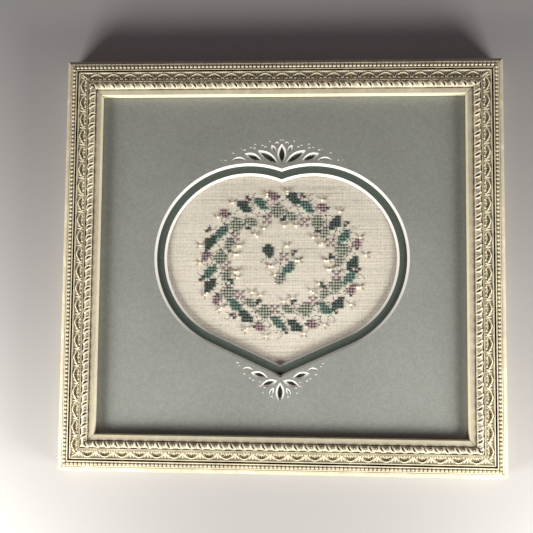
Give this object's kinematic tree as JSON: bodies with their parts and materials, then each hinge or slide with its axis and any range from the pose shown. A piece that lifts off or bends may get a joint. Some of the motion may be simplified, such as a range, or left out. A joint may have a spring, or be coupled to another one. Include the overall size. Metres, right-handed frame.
{
  "type": "framed cross-stitch picture with its moulding frame and double mat",
  "caption": "Face-up framed needlework picture: mitred relief moulding, double mat with a heart opening, embroidered linen and a backing board.",
  "frame": {"origin": "middle of the frame in the plane of its flat back", "axes": "+Z out of the picture's face, +Y to the picture's top edge, +X to its right"},
  "size_m": [0.254, 0.239, 0.0144],
  "materials": {
    "moulding": "ivory gesso relief with umber wash",
    "sage_board": "suede-faced mat board, white core",
    "green_board": "dark green mat board, white core",
    "linen": "evenweave linen with cotton cross stitch",
    "backing": "plain kraft-faced board"
  },
  "bodies": {
    "root": {"rail_bottom": "moulding", "rail_right": "moulding", "rail_top": "moulding", "rail_left": "moulding", "mat_top": "sage_board", "mat_inner": "green_board", "linen": "linen", "backing_board": "backing"}
  },
  "joints": []
}
